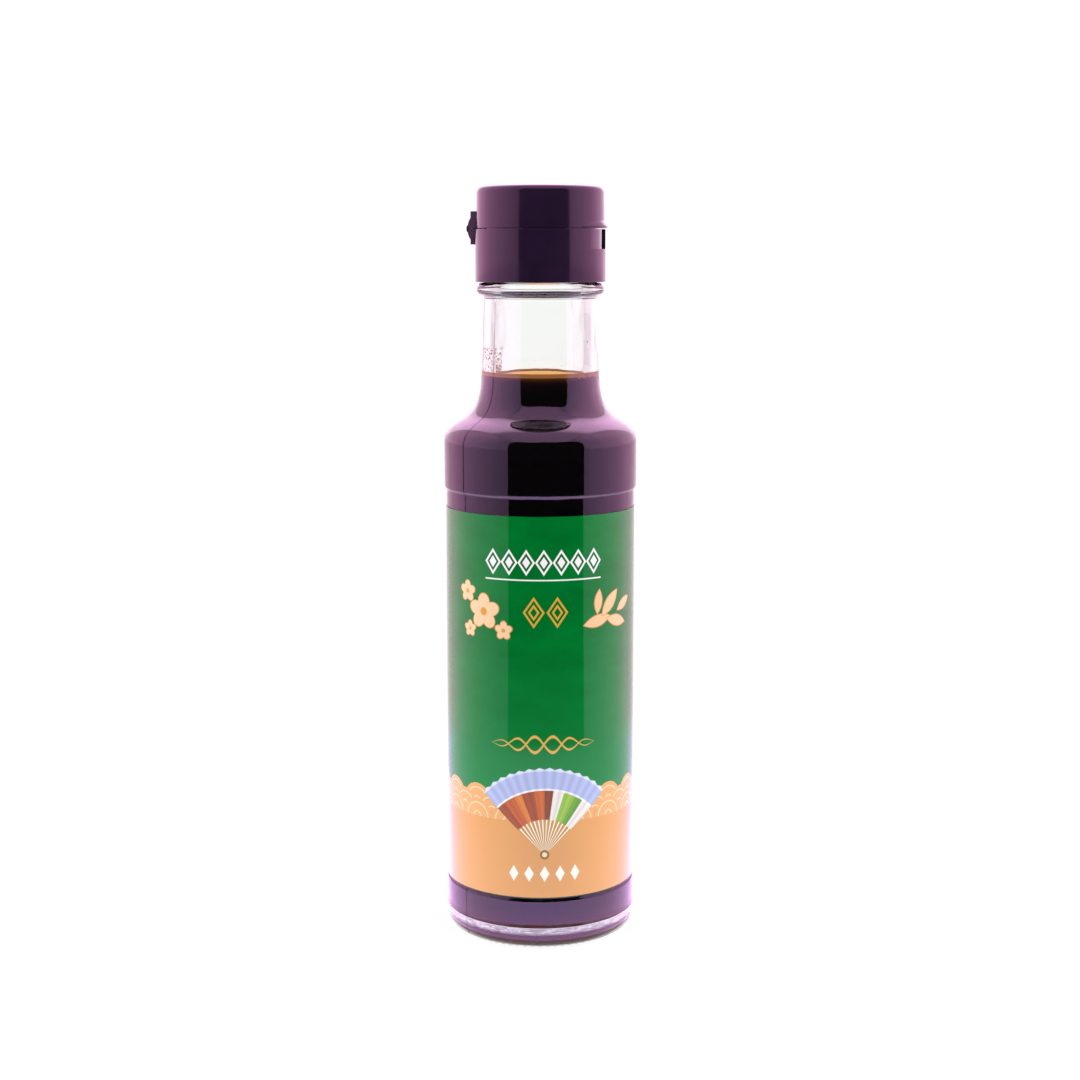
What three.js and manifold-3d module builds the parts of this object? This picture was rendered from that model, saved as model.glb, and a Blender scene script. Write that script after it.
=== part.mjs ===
// Small glass bottle of soy sauce, 150 ml, with a wrap-round label and a flip-top closure.
// Millimetres, +Z up. The origin is at the middle of the base, on the surface that it stands on.
// Azimuth 0 of a lathe is +Z of three's lathe frame, so every lathe is turned to stand along +Z.

import * as THREE from 'three';
import { mergeVertices } from 'three/addons/utils/BufferGeometryUtils.js';
import Module from 'manifold-3d';

const wasm = await Module();
wasm.setup();

// Round pieces share one number of sides, so that the flats of nested pieces lie parallel.
const SIDES = 48;
const CLEARANCE = 0.3;

// Glass, outside: radii and heights
const BODY_RADIUS = 22.5;
const PANEL_RADIUS = 22.0;
const PANEL_TOP = 105.2;
const PANEL_BOTTOM = 12.3;
const PANEL_STEP = 0.9;
const HEEL_RADIUS = 22.35;
const BEARING_OUTER = 20.4;
const BEARING_INNER = 18.6;
const NECK_TOP_RADIUS = 13.05;
const NECK_TOP = 149.6;
const FINISH_RADIUS = 12.6;
const FINISH_FOOT = 153.2;
const SNAP_RADIUS = 13.2;
const SNAP_BOTTOM = 156.0;
const SNAP_EDGE = 156.4;
const SNAP_TOP = 157.6;
const LIP_HEIGHT = 162.6;
const LIP_ROUNDING = 0.8;

// Glass, outside: curves as pairs of radius and height, the two ends with the pulls between them
const PUNT = [[0, 2.4], [9.6, 2.1], [16.0, 1.5]];
const HEEL_CURVE = [[20.6, 0.35], [22.35, 0.9], [22.35, 3.6]];
const SHOULDER_CURVE = [[22.5, 115.5], [22.5, 118.1], [22.45, 118.9], [17.95, 121.9]];
const SWEEP_CURVE = [[17.95, 121.9], [14.95, 123.9], [13.8, 126.7], [13.7, 133.0]];
const BEAD_CURVE = [[13.25, 150.2], [15.05, 150.4], [15.05, 152.8], [13.8, 153.0]];

// Glass, inside: the wall is 2 mm thick behind the label
const MOUTH_RADIUS = 9.8;
const BORE_KNEE_RADIUS = 10.1;
const BORE_KNEE = 147.5;
const BORE_FOOT_RADIUS = 11.4;
const BORE_FOOT = 134.0;
const INNER_SWEEP = [[11.5, 132.4], [11.6, 125.4], [13.2, 122.3], [16.0, 120.4]];
const INNER_SHOULDER = [[16.0, 120.4], [18.9, 118.4], [20.0, 116.5], [20.0, 113.5]];
const INNER_CORNER = [[20.0, 6.9], [20.0, 4.2], [17.3, 4.2]];
const INNER_CROWN = 5.2;

// Sauce: its level in the neck
const SAUCE_LEVEL = 132.1;

// Label: a printed sheet round the panel, its two ends facing each other at the back
const LABEL_THICKNESS = 0.15;
const LABEL_OFFSET = 0.05;
const LABEL_TOP = 101.4;
const LABEL_BOTTOM = 12.75;
const LABEL_GAP_SIDES = 1;

// Closure, in its own frame: the tab points along +X and the hinge along -X
const CLOSURE_TURN = -18 * Math.PI / 180;
const CAP_BOTTOM = 153.2;
const PARTING = 165.3;
const PARTING_GAP = 0.16;
const CAP_TOP = 175.0;
const BASE_RADIUS = 15.1;
const LID_RADIUS = 14.85;
const LID_TOP_RADIUS = 14.7;
const LID_EDGE = 1.4;
const RIM_CHAMFER = 0.25;
const SKIRT_INNER = 13.7;
const DECK_THICKNESS = 1.5;
const COLLAR_OUTER = 13.1;
const COLLAR_INNER = 12.2;
const COLLAR_HEIGHT = 0.8;
const SPOUT_RADIUS = 5.2;
const SPOUT_LIP = 5.7;
const SPOUT_BORE = 4.1;
const SPOUT_HEIGHT = 3.5;
const SPOUT_FLARE = 1.0;
const SPOUT_ROUNDING = 0.4;
const SPOUT_SEAL_DEPTH = 2.4;
const LID_WALL = 1.25;
const LID_DRAFT = 0.2;
const LID_ROOF = 1.4;
const LID_FILLET = 1.2;

// How far a cutting block runs past what it cuts
const PAST = 1;

// Thumb tab on the lid, a crescent in plan, and the recess under it
const TAB_HALF_ANGLE = 33 * Math.PI / 180;
const TAB_REACH = 0.85;
const TAB_UNDERSIDE = 0.05;
const TAB_EDGE = 0.4;
const TAB_CHAMFER = 0.15;
const TAB_SLOPE = 1.2;
const TAB_RISE = 1.7;
const RECESS_HALF_ANGLE = 23 * Math.PI / 180;
const RECESS_DEPTH = 0.8;
const RECESS_BOTTOM = 160.7;
const TEAR_ANGLE = 8 * Math.PI / 180;
const TEAR_WIDTH = 0.35;
const TEAR_DEPTH = 0.3;

// Hinge: a raised pad on both halves, swelling to the hinge line at the parting plane
const HINGE_HALF_WIDTH = 4.4;
const HINGE_PAD_REACH = 15.55;
const HINGE_LINE = 16.3;
const HINGE_PAD_LOW = 161.7;
const HINGE_PAD_HIGH = 169.3;
const HINGE_SWELL = 2.5;
const HINGE_SWELL_PULL = 1.4;
const HINGE_WINDOW = 2.2;
const WINDOW_REACH = 15.2;
const STRAP_SEAT = 15.35;
const STRAP_HALF_WIDTH = 1.7;
const STRAP_THICKNESS = 0.4;
const STRAP_BOW = 0.3;
const STRAP_HALF_HEIGHT = 2.4;
const FILM_SEAT = 16.4;
const FILM_EDGE = 16.51;
const FILM_REACH = 16.58;
const FILM_HALF_HEIGHT = 0.75;
const FILM_HALF_WIDTH = 1.1;
const FILM_CENTRE = 3.4;

const GLASS = { color: 0xe9eeee, roughness: 0.03, transparent: true, opacity: 0.35 };
const SAUCE = { color: 0x160806, roughness: 0.1 };
const PRINTED_FILM = { color: 0x0f7a3a, roughness: 0.3 };
const MOULDED_PLASTIC = { color: 0x2a1a2e, roughness: 0.25 };

function point(radius, height) {
  return new THREE.Vector2(radius, height);
}

// Points of a curve from its pairs of radius and height, both ends included, moved in and down by an inset
function curve(pairs, steps, inset = 0) {
  const controls = pairs.map(([radius, height]) => point(radius - inset, height - inset));
  const Kind = controls.length === 4 ? THREE.CubicBezierCurve : THREE.QuadraticBezierCurve;
  return new Kind(...controls).getPoints(steps);
}

// Turns an outline of radius and height, drawn counter-clockwise, about the Z axis
function turned(outline) {
  const geometry = new THREE.LatheGeometry(outline, SIDES);
  geometry.rotateX(Math.PI / 2);
  return geometry;
}

function toSolid(geometry) {
  const bare = geometry.clone();
  bare.deleteAttribute('normal');
  bare.deleteAttribute('uv');
  const merged = mergeVertices(bare, 1e-4);
  return new wasm.Manifold(new wasm.Mesh({
    numProp: 3,
    vertProperties: new Float32Array(merged.attributes.position.array),
    triVerts: new Uint32Array(merged.index.array),
  }));
}

function toGeometry(solid) {
  const mesh = solid.getMesh();
  const geometry = new THREE.BufferGeometry();
  geometry.setAttribute('position', new THREE.BufferAttribute(mesh.vertProperties, mesh.numProp));
  geometry.setIndex(new THREE.BufferAttribute(mesh.triVerts, 1));
  geometry.computeVertexNormals();
  return geometry;
}

function named(name, geometry, finish) {
  const mesh = new THREE.Mesh(geometry, new THREE.MeshStandardMaterial({ metalness: 0, ...finish }));
  mesh.name = name;
  return mesh;
}

// Outside of the glass from the middle of its underside up to the lip
function glassOutside() {
  return [
    ...PUNT.map(([radius, height]) => point(radius, height)),
    point(BEARING_INNER, 0),
    point(BEARING_OUTER, 0),
    ...curve(HEEL_CURVE, 4),
    point(HEEL_RADIUS, PANEL_BOTTOM - PANEL_STEP),
    point(PANEL_RADIUS, PANEL_BOTTOM),
    point(PANEL_RADIUS, PANEL_TOP),
    point(BODY_RADIUS, PANEL_TOP + PANEL_STEP),
    ...curve(SHOULDER_CURVE, 7),
    ...curve(SWEEP_CURVE, 7).slice(1),
    point(NECK_TOP_RADIUS, NECK_TOP),
    ...curve(BEAD_CURVE, 5),
    point(FINISH_RADIUS, FINISH_FOOT),
    point(FINISH_RADIUS, SNAP_BOTTOM),
    point(SNAP_RADIUS, SNAP_EDGE),
    point(FINISH_RADIUS, SNAP_TOP),
    point(FINISH_RADIUS, LIP_HEIGHT - LIP_ROUNDING),
    point(FINISH_RADIUS - LIP_ROUNDING, LIP_HEIGHT),
  ];
}

// Inner wall of the glass from the foot of the bore down to the middle of the bottom
function innerWall(inset) {
  const corner = INNER_CORNER.map(([radius, height]) => [radius, height + 2 * inset]);
  return [
    ...curve(INNER_SWEEP, 6, inset),
    ...curve(INNER_SHOULDER, 5, inset).slice(1),
    ...curve(corner, 4, inset),
    point(0, INNER_CROWN + inset),
  ];
}

function glassBottle() {
  return turned([
    ...glassOutside(),
    point(MOUTH_RADIUS + LIP_ROUNDING / 2, LIP_HEIGHT),
    point(MOUTH_RADIUS, LIP_HEIGHT - LIP_ROUNDING),
    point(BORE_KNEE_RADIUS, BORE_KNEE),
    point(BORE_FOOT_RADIUS, BORE_FOOT),
    ...innerWall(0),
  ]);
}

// Sauce up to its level, a little clear of the glass
function sauce() {
  const wall = innerWall(CLEARANCE).reverse();
  return turned([...wall, point(wall.at(-1).x, SAUCE_LEVEL), point(0, SAUCE_LEVEL)]);
}

// Label: the panel's own flats, set out by the sheet's thickness
function label() {
  const first = LABEL_GAP_SIDES;
  const last = SIDES - LABEL_GAP_SIDES;
  const arc = (radius) => {
    const points = [];
    for (let side = first; side <= last; side += 1) {
      const angle = Math.PI / 2 + side * 2 * Math.PI / SIDES;
      points.push(point(radius * Math.cos(angle), radius * Math.sin(angle)));
    }
    return points;
  };
  const inner = PANEL_RADIUS + LABEL_OFFSET;
  const outline = new THREE.Shape([...arc(inner + LABEL_THICKNESS), ...arc(inner).reverse()]);
  const geometry = new THREE.ExtrudeGeometry(outline, {
    depth: LABEL_TOP - LABEL_BOTTOM, bevelEnabled: false, steps: 1,
  });
  geometry.translate(0, 0, LABEL_BOTTOM);
  return geometry;
}

// A block with its length along Y, from an outline in X and Z
function blockAlongY(outline, low, high) {
  const geometry = new THREE.ExtrudeGeometry(new THREE.Shape(outline), {
    depth: high - low, bevelEnabled: false, steps: 1,
  });
  geometry.rotateX(Math.PI / 2);
  geometry.translate(0, high, 0);
  return geometry;
}

// A sector of a ring round Z, about the +X direction
function ringSector(inner, outer, centreAngle, halfAngle, low, high, steps) {
  const arc = (radius) => {
    const points = [];
    for (let step = 0; step <= steps; step += 1) {
      const angle = centreAngle - halfAngle + 2 * halfAngle * step / steps;
      points.push(point(radius * Math.cos(angle), radius * Math.sin(angle)));
    }
    return points;
  };
  const outline = new THREE.Shape([...arc(outer), ...arc(inner).reverse()]);
  const geometry = new THREE.ExtrudeGeometry(outline, { depth: high - low, bevelEnabled: false, steps: 1 });
  geometry.translate(0, 0, low);
  return geometry;
}

// Hinge pad of one half: flat at its far end and swelling out to the hinge line at the parting plane.
// up is 1 for the lid's half and -1 for the base's.
function hingePad(up, farHeight, nearHeight, root) {
  const swell = curve([[-HINGE_PAD_REACH, nearHeight + up * HINGE_SWELL],
    [-HINGE_LINE, nearHeight + up * HINGE_SWELL_PULL], [-HINGE_LINE, nearHeight]], 4);
  return blockAlongY([point(-root, farHeight), point(-HINGE_PAD_REACH, farHeight), ...swell,
    point(-root, nearHeight)], -HINGE_HALF_WIDTH, HINGE_HALF_WIDTH);
}

// Opening in the middle of the pad, where the spring strap lies
function hingeWindow(low, high) {
  const outside = -HINGE_LINE - PAST;
  return blockAlongY([point(outside, low), point(-WINDOW_REACH, low), point(-WINDOW_REACH, high),
    point(outside, high)], -HINGE_WINDOW, HINGE_WINDOW);
}

function capBase() {
  const top = PARTING - PARTING_GAP / 2;
  const deckUnder = top - DECK_THICKNESS;
  const spoutTop = top + SPOUT_HEIGHT;
  const shell = toSolid(turned([
    point(0, deckUnder),
    point(SKIRT_INNER, deckUnder),
    point(SKIRT_INNER, CAP_BOTTOM + RIM_CHAMFER),
    point(SKIRT_INNER + RIM_CHAMFER, CAP_BOTTOM),
    point(BASE_RADIUS - RIM_CHAMFER, CAP_BOTTOM),
    point(BASE_RADIUS, CAP_BOTTOM + RIM_CHAMFER),
    point(BASE_RADIUS, top - RIM_CHAMFER),
    point(BASE_RADIUS - RIM_CHAMFER, top),
    point(COLLAR_OUTER, top),
    point(COLLAR_OUTER, top + COLLAR_HEIGHT),
    point(COLLAR_INNER, top + COLLAR_HEIGHT),
    point(COLLAR_INNER, top),
    point(SPOUT_RADIUS, top),
    point(SPOUT_RADIUS, spoutTop - SPOUT_FLARE),
    point(SPOUT_LIP, spoutTop),
    point(SPOUT_BORE + SPOUT_ROUNDING, spoutTop),
    point(SPOUT_BORE, spoutTop - SPOUT_ROUNDING),
    point(SPOUT_BORE, spoutTop - SPOUT_SEAL_DEPTH),
    point(0, spoutTop - SPOUT_SEAL_DEPTH),
  ]));
  const pad = toSolid(hingePad(-1, HINGE_PAD_LOW, top, SKIRT_INNER + CLEARANCE));
  const window = toSolid(hingeWindow(PARTING - STRAP_HALF_HEIGHT - CLEARANCE, top + PAST));
  const recess = toSolid(ringSector(BASE_RADIUS - RECESS_DEPTH, BASE_RADIUS + PAST, 0, RECESS_HALF_ANGLE,
    RECESS_BOTTOM, top + PAST, 6));
  const tearOutline = [
    point(BASE_RADIUS - TEAR_DEPTH, CAP_BOTTOM - PAST), point(BASE_RADIUS + PAST, CAP_BOTTOM - PAST),
    point(BASE_RADIUS + PAST, RECESS_BOTTOM + PAST), point(BASE_RADIUS - TEAR_DEPTH, RECESS_BOTTOM + PAST)];
  const tear = blockAlongY(tearOutline, -TEAR_WIDTH / 2, TEAR_WIDTH / 2);
  tear.rotateZ(TEAR_ANGLE);
  return toGeometry(shell.add(pad.subtract(window)).subtract(recess).subtract(toSolid(tear)));
}

// Thumb tab: a low cone frustum set off towards +X, so that it shows as a crescent on the lid's side
function thumbTab(bottom) {
  const reach = LID_RADIUS + TAB_REACH;
  const endX = LID_RADIUS * Math.cos(TAB_HALF_ANGLE);
  const endY = LID_RADIUS * Math.sin(TAB_HALF_ANGLE);
  const centre = (reach * reach - endX * endX - endY * endY) / (2 * (reach - endX));
  const radius = reach - centre;
  const low = bottom + TAB_UNDERSIDE;
  const tab = turned([
    point(0, low),
    point(radius - TAB_CHAMFER, low),
    point(radius, low + TAB_CHAMFER),
    point(radius, low + TAB_EDGE),
    point(radius - TAB_SLOPE, low + TAB_EDGE + TAB_RISE),
    point(0, low + TAB_EDGE + TAB_RISE),
  ]);
  tab.translate(centre, 0, 0);
  return tab;
}

function capLid() {
  const bottom = PARTING + PARTING_GAP / 2;
  const roof = CAP_TOP - LID_ROOF;
  const edge = curve([[LID_TOP_RADIUS, CAP_TOP - LID_EDGE], [LID_TOP_RADIUS, CAP_TOP],
    [LID_TOP_RADIUS - LID_EDGE, CAP_TOP]], 4);
  const inner = LID_RADIUS - LID_WALL;
  const outside = toSolid(turned([point(0, bottom), point(LID_RADIUS - RIM_CHAMFER, bottom),
    point(LID_RADIUS, bottom + RIM_CHAMFER), ...edge, point(0, CAP_TOP)]));
  const hollow = toSolid(turned([point(0, bottom - PAST), point(inner, bottom - PAST),
    point(inner - LID_DRAFT, roof - LID_FILLET), point(inner - LID_DRAFT - LID_FILLET, roof),
    point(0, roof)]));
  const pad = toSolid(hingePad(1, HINGE_PAD_HIGH, bottom, inner + CLEARANCE));
  const window = toSolid(hingeWindow(bottom - PAST, PARTING + STRAP_HALF_HEIGHT + CLEARANCE));
  return toGeometry(outside.add(toSolid(thumbTab(bottom))).subtract(hollow).add(pad.subtract(window)));
}

// Spring strap in the middle of the hinge, bowed a little outwards
function hingeStrap() {
  const low = PARTING - STRAP_HALF_HEIGHT;
  const high = PARTING + STRAP_HALF_HEIGHT;
  const bow = (reach) => curve([[-reach, low], [-reach - 2 * STRAP_BOW, PARTING], [-reach, high]], 6);
  const outline = [...bow(STRAP_SEAT), ...bow(STRAP_SEAT + STRAP_THICKNESS).reverse()];
  return blockAlongY(outline, -STRAP_HALF_WIDTH, STRAP_HALF_WIDTH);
}

// Film hinge on one side of the strap, wrapped over the hinge line. side is 1 or -1.
function hingeFilm(side) {
  const low = PARTING - FILM_HALF_HEIGHT;
  const high = PARTING + FILM_HALF_HEIGHT;
  const outline = [point(-FILM_SEAT, low), point(-FILM_SEAT, high), point(-FILM_EDGE, high),
    point(-FILM_REACH, PARTING), point(-FILM_EDGE, low)];
  const centre = side * FILM_CENTRE;
  return blockAlongY(outline, centre - FILM_HALF_WIDTH, centre + FILM_HALF_WIDTH);
}

function closure() {
  const group = new THREE.Group();
  group.rotation.z = CLOSURE_TURN;
  group.add(named('cap_base', capBase(), MOULDED_PLASTIC));
  group.add(named('cap_lid', capLid(), MOULDED_PLASTIC));
  group.add(named('hinge_strap', hingeStrap(), MOULDED_PLASTIC));
  group.add(named('hinge_film_left', hingeFilm(1), MOULDED_PLASTIC));
  group.add(named('hinge_film_right', hingeFilm(-1), MOULDED_PLASTIC));
  return group;
}

const bottle = new THREE.Group();
bottle.add(named('glass_bottle', glassBottle(), GLASS));
bottle.add(named('soy_sauce', sauce(), SAUCE));
bottle.add(named('label', label(), PRINTED_FILM));
bottle.add(closure());

export default bottle;
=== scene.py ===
"""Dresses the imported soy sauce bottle: clear glass, sauce, printed label and flip-top closure."""

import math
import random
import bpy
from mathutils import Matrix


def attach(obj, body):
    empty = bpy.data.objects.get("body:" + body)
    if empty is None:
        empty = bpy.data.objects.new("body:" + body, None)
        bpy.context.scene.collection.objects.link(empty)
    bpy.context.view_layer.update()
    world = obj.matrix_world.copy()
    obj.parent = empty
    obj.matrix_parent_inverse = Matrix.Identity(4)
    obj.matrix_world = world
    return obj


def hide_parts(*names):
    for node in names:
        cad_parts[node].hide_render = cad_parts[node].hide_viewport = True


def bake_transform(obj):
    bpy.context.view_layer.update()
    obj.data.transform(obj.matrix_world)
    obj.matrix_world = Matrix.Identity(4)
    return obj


bl_info = {
    "name": "Soy Sauce Bottle",
    "version": (1, 0, 0),
    "blender": (4, 5, 0),
    "location": "View3D > Sidebar > Sauce Bottle",
    "description": "Models a small glass soy sauce bottle piece by piece on its packed frame",
    "category": "Object",
}

from functools import partial

import bmesh
import bpy
from mathutils import Vector

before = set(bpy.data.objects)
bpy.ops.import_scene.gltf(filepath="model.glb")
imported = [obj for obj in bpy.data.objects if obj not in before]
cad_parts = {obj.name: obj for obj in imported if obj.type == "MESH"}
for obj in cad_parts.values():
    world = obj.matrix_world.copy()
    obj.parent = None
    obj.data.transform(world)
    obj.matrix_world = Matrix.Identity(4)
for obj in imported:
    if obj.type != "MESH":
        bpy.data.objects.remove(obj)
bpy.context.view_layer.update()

MM = 0.001
FULL_TURN = 2 * math.pi
MERGE = 2e-6
GLASS_STEPS = 288
CAP_STEPS = 192

# Heights and radii in mm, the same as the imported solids
SAUCE_LEVEL = 132.1
LABEL_BOTTOM = 12.75
LABEL_FOOT = 12.38
LABEL_TOP = 101.4
LABEL_RADIUS = 22.06
PRINT_RADIUS = 22.2
CAP_BOTTOM = 153.2
PARTING = 165.3
CAP_TOP = 175.0
BASE_RADIUS = 15.1
HINGE_LINE = 16.3
# Inner radius of the neck by height, and its sweep from the sauce's level out to the shoulder
BORE = [(132.4, 10.25), (134.0, 10.2), (136.0, 10.14), (138.5, 10.08), (141.5, 10.02), (144.5, 9.97)]
BORE_SWEEP = [(10.25, 132.4), (10.4, 126.0), (12.8, 122.4), (16.0, 120.4)]
CLOSURE_TURN = math.radians(-18)
SEAM_ANGLE = math.radians(-51)


def linear(colour):
    """Turns an sRGB hex value into linear RGBA."""
    channels = [int(colour[i : i + 2], 16) / 255 for i in (1, 3, 5)]
    return tuple(c / 12.92 if c <= 0.04045 else ((c + 0.055) / 1.055) ** 2.4 for c in channels) + (1.0,)


def add_node(tree, kind, *inputs, **named):
    """Adds a node, its kind and operation in one text, and links or fills its inputs.

    Inputs come in order, or by name with _ for a space. Names in lower case are the node's own settings.
    """
    kind, *operation = kind.split()
    node = tree.nodes.new("ShaderNode" + kind)
    if operation:
        setattr(node, "data_type" if kind == "Mix" else "operation", operation[0])
    by_name = {}
    for name, value in named.items():
        if name[0].isupper():
            by_name[node.inputs[name.replace("_", " ")]] = value
        else:
            setattr(node, name, value)
    in_order = [socket for socket in node.inputs if socket.enabled]
    for socket, value in [*zip(in_order, inputs), *by_name.items()]:
        if isinstance(value, bpy.types.Node):
            value = next(output for output in value.outputs if output.enabled)
        if isinstance(value, bpy.types.NodeSocket):
            tree.links.new(value, socket)
        else:
            socket.default_value = value
    return node


def fill_ramp(ramp, stops):
    """Puts stops of place and RGBA on a new colour ramp, which has two stops of its own."""
    elements = ramp.color_ramp.elements
    for at, shade in stops[2:]:
        elements.new(at)
    for element, (at, shade) in zip(elements, stops):
        element.position = at
        element.color = shade


def new_material(name):
    """An empty node material, and the adder of its nodes."""
    material = bpy.data.materials.new(name)
    material.use_nodes = True
    material.node_tree.nodes.clear()
    return material, partial(add_node, material.node_tree)


# ---------------------------------------------------------------- settings


def length(name, description, default, low, high):
    """A size in mm."""
    return bpy.props.FloatProperty(name=name, description=description, default=default * MM, min=low * MM,
                                   max=high * MM, precision=6, unit="LENGTH")


def colour(name, description, shade):
    """A surface colour, from its sRGB hex value."""
    return bpy.props.FloatVectorProperty(
        name=name, description=description, default=linear(shade)[:3], min=0, max=1, subtype="COLOR")


def light(name, description, shade):
    """A light's colour, which may be brighter than white."""
    return bpy.props.FloatVectorProperty(
        name=name, description=description, default=shade, min=0, max=10, subtype="COLOR")


class BottleSettings(bpy.types.PropertyGroup):
    seam_height: length("Mould seam", "How far the mould seams stand out of the glass", 0.12, 0, 0.3)
    bore_wave: length("Bore waves", "Unevenness of the inner wall of the neck", 0.7, 0, 1.0)
    meniscus: length("Meniscus", "How far the sauce climbs the glass", 0.45, 0, 2)
    glass_colour: colour("Glass", "Tint of the clear glass", "#FCFDFC")
    sauce_colour: colour("Sauce", "Sauce seen in depth", "#060308")
    sauce_edge_colour: colour("Thin sauce", "Sauce where light passes through it", "#F4A862")


class LabelSettings(bpy.types.PropertyGroup):
    upper_field: colour("Upper field", "Printed green", "#006E2A")
    lower_field: colour("Lower field", "Printed peach", "#E29A5C")
    thickness: length("Film", "Thickness of the printed film", 0.11, 0.03, 0.13)


class ClosureSettings(bpy.types.PropertyGroup):
    plastic_colour: colour("Closure", "Moulded polypropylene", "#22132A")
    edge_radius: length("Edge radius", "Rounding of the closure's rims", 0.3, 0.1, 0.5)


class StageSettings(bpy.types.PropertyGroup):
    wall_gain: bpy.props.FloatProperty(
        name="Walls", description="Light from the tent's walls as gloss shows it", default=3.0, min=0, max=10)
    ceiling_front: light(
        "Ceiling, front", "Light from the ceiling's front half as gloss shows it", (2.0, 1.05, 2.0))
    ceiling_back: light(
        "Ceiling, back", "Light from the ceiling's back half as gloss shows it", (5.0, 2.7, 4.6))
    floor_colour: light(
        "Floor glow", "Light from the floor near the bottle as gloss shows it", (2.8, 1.7, 3.8))


# ---------------------------------------------------------------- modelling


def deselect():
    if bpy.context.mode != "OBJECT":
        bpy.ops.object.mode_set(mode="OBJECT")
    bpy.ops.object.select_all(action="DESELECT")


def make_active(piece):
    deselect()
    piece.select_set(True)
    bpy.context.view_layer.objects.active = piece


def curve(pairs, steps):
    """Points of a Bezier curve through pairs of radius and height, both ends included."""
    made = []
    for i in range(steps + 1):
        points = [Vector(p) for p in pairs]
        while len(points) > 1:
            points = [a.lerp(b, i / steps) for a, b in zip(points, points[1:])]
        made.append(tuple(points[0]))
    return made


def rounded(outline, radii, steps=5):
    """An outline whose corners at the given places are rounded by the given radii, in mm."""
    made = []
    for i, corner in enumerate(outline):
        radius = radii.get(i)
        if not radius:
            made.append(corner)
            continue
        here = Vector(corner)
        before = Vector(outline[i - 1]) - here
        after = Vector(outline[(i + 1) % len(outline)]) - here
        reach = min(radius, before.length * 0.49, after.length * 0.49)
        start = here + before.normalized() * reach
        end = here + after.normalized() * reach
        made.extend(curve([tuple(start), corner, tuple(end)], steps))
    return made


def draw_outline(name, outline):
    """A new piece in edit mode that holds one line of vertices along an outline in X and Z, in mm."""
    deselect()
    bpy.ops.mesh.primitive_plane_add(size=MM, location=(0, 0, 0))
    piece = bpy.context.object
    piece.name = name
    piece.data.name = name
    bpy.ops.object.mode_set(mode="EDIT")
    bpy.ops.mesh.select_mode(type="VERT")
    bpy.ops.mesh.select_all(action="SELECT")
    bpy.ops.mesh.merge(type="CENTER")
    here = outline[0]
    bpy.ops.transform.translate(value=(here[0] * MM, 0, here[1] * MM))
    for there in outline[1:]:
        step = ((there[0] - here[0]) * MM, 0, (there[1] - here[1]) * MM)
        bpy.ops.mesh.extrude_region_move(TRANSFORM_OT_translate={"value": step})
        here = there
    bpy.ops.mesh.select_all(action="SELECT")
    return piece


def turned(name, outline, steps, sweep=FULL_TURN):
    """A piece turned about Z from an outline of radius and height."""
    piece = draw_outline(name, outline)
    bpy.ops.mesh.spin(steps=steps, angle=sweep, center=(0, 0, 0), axis=(0, 0, 1))
    bpy.ops.mesh.select_all(action="SELECT")
    bpy.ops.mesh.remove_doubles(threshold=MERGE)
    bpy.ops.mesh.normals_make_consistent(inside=False)
    bpy.ops.object.mode_set(mode="OBJECT")
    return piece


def prism(name, outline, low, high):
    """A block along Y between two places, from a closed outline in X and Z."""
    piece = draw_outline(name, outline)
    bpy.ops.mesh.edge_face_add()
    bpy.ops.transform.translate(value=(0, low * MM, 0))
    bpy.ops.mesh.extrude_region_move(TRANSFORM_OT_translate={"value": (0, (high - low) * MM, 0)})
    bpy.ops.mesh.select_all(action="SELECT")
    bpy.ops.mesh.normals_make_consistent(inside=False)
    bpy.ops.object.mode_set(mode="OBJECT")
    return piece


def select_where(test):
    """In edit mode, selects the vertices of the active piece that pass a test of place and normal, in mm."""
    mesh = bmesh.from_edit_mesh(bpy.context.object.data)
    mesh.normal_update()
    for vertex in mesh.verts:
        vertex.select = bool(test(vertex.co / MM, vertex.normal))
    mesh.select_flush(True)
    bmesh.update_edit_mesh(bpy.context.object.data)


def bevel_sharp(piece, width, segments=2, angle=35):
    make_active(piece)
    modifier = piece.modifiers.new("rounded edges", "BEVEL")
    modifier.width = width * MM
    modifier.segments = segments
    modifier.limit_method = "ANGLE"
    modifier.angle_limit = math.radians(angle)
    bpy.ops.object.modifier_apply(modifier=modifier.name)


def combine(piece, other, operation):
    """Joins or cuts a piece with another, which is then gone, and merges the slivers along the cut."""
    make_active(piece)
    modifier = piece.modifiers.new("shape", "BOOLEAN")
    modifier.operation = operation
    modifier.solver = "EXACT"
    modifier.object = other
    bpy.ops.object.modifier_apply(modifier=modifier.name)
    bpy.data.objects.remove(other, do_unlink=True)
    bpy.ops.object.mode_set(mode="EDIT")
    bpy.ops.mesh.select_all(action="SELECT")
    bpy.ops.mesh.remove_doubles(threshold=MERGE)
    bpy.ops.mesh.dissolve_degenerate(threshold=MERGE)
    bpy.ops.object.mode_set(mode="OBJECT")


def turn_closure(piece):
    """Turns a piece of the closure from its own frame to its place on the neck."""
    make_active(piece)
    piece.rotation_euler = (0, 0, CLOSURE_TURN)
    bpy.ops.object.transform_apply(location=True, rotation=True, scale=True)


def dress(piece, slot, *materials, angle=30):
    make_active(piece)
    bpy.ops.object.shade_smooth_by_angle(angle=math.radians(angle))
    for material in materials:
        piece.data.materials.append(material)
    return piece


# ---------------------------------------------------------------- materials


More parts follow.
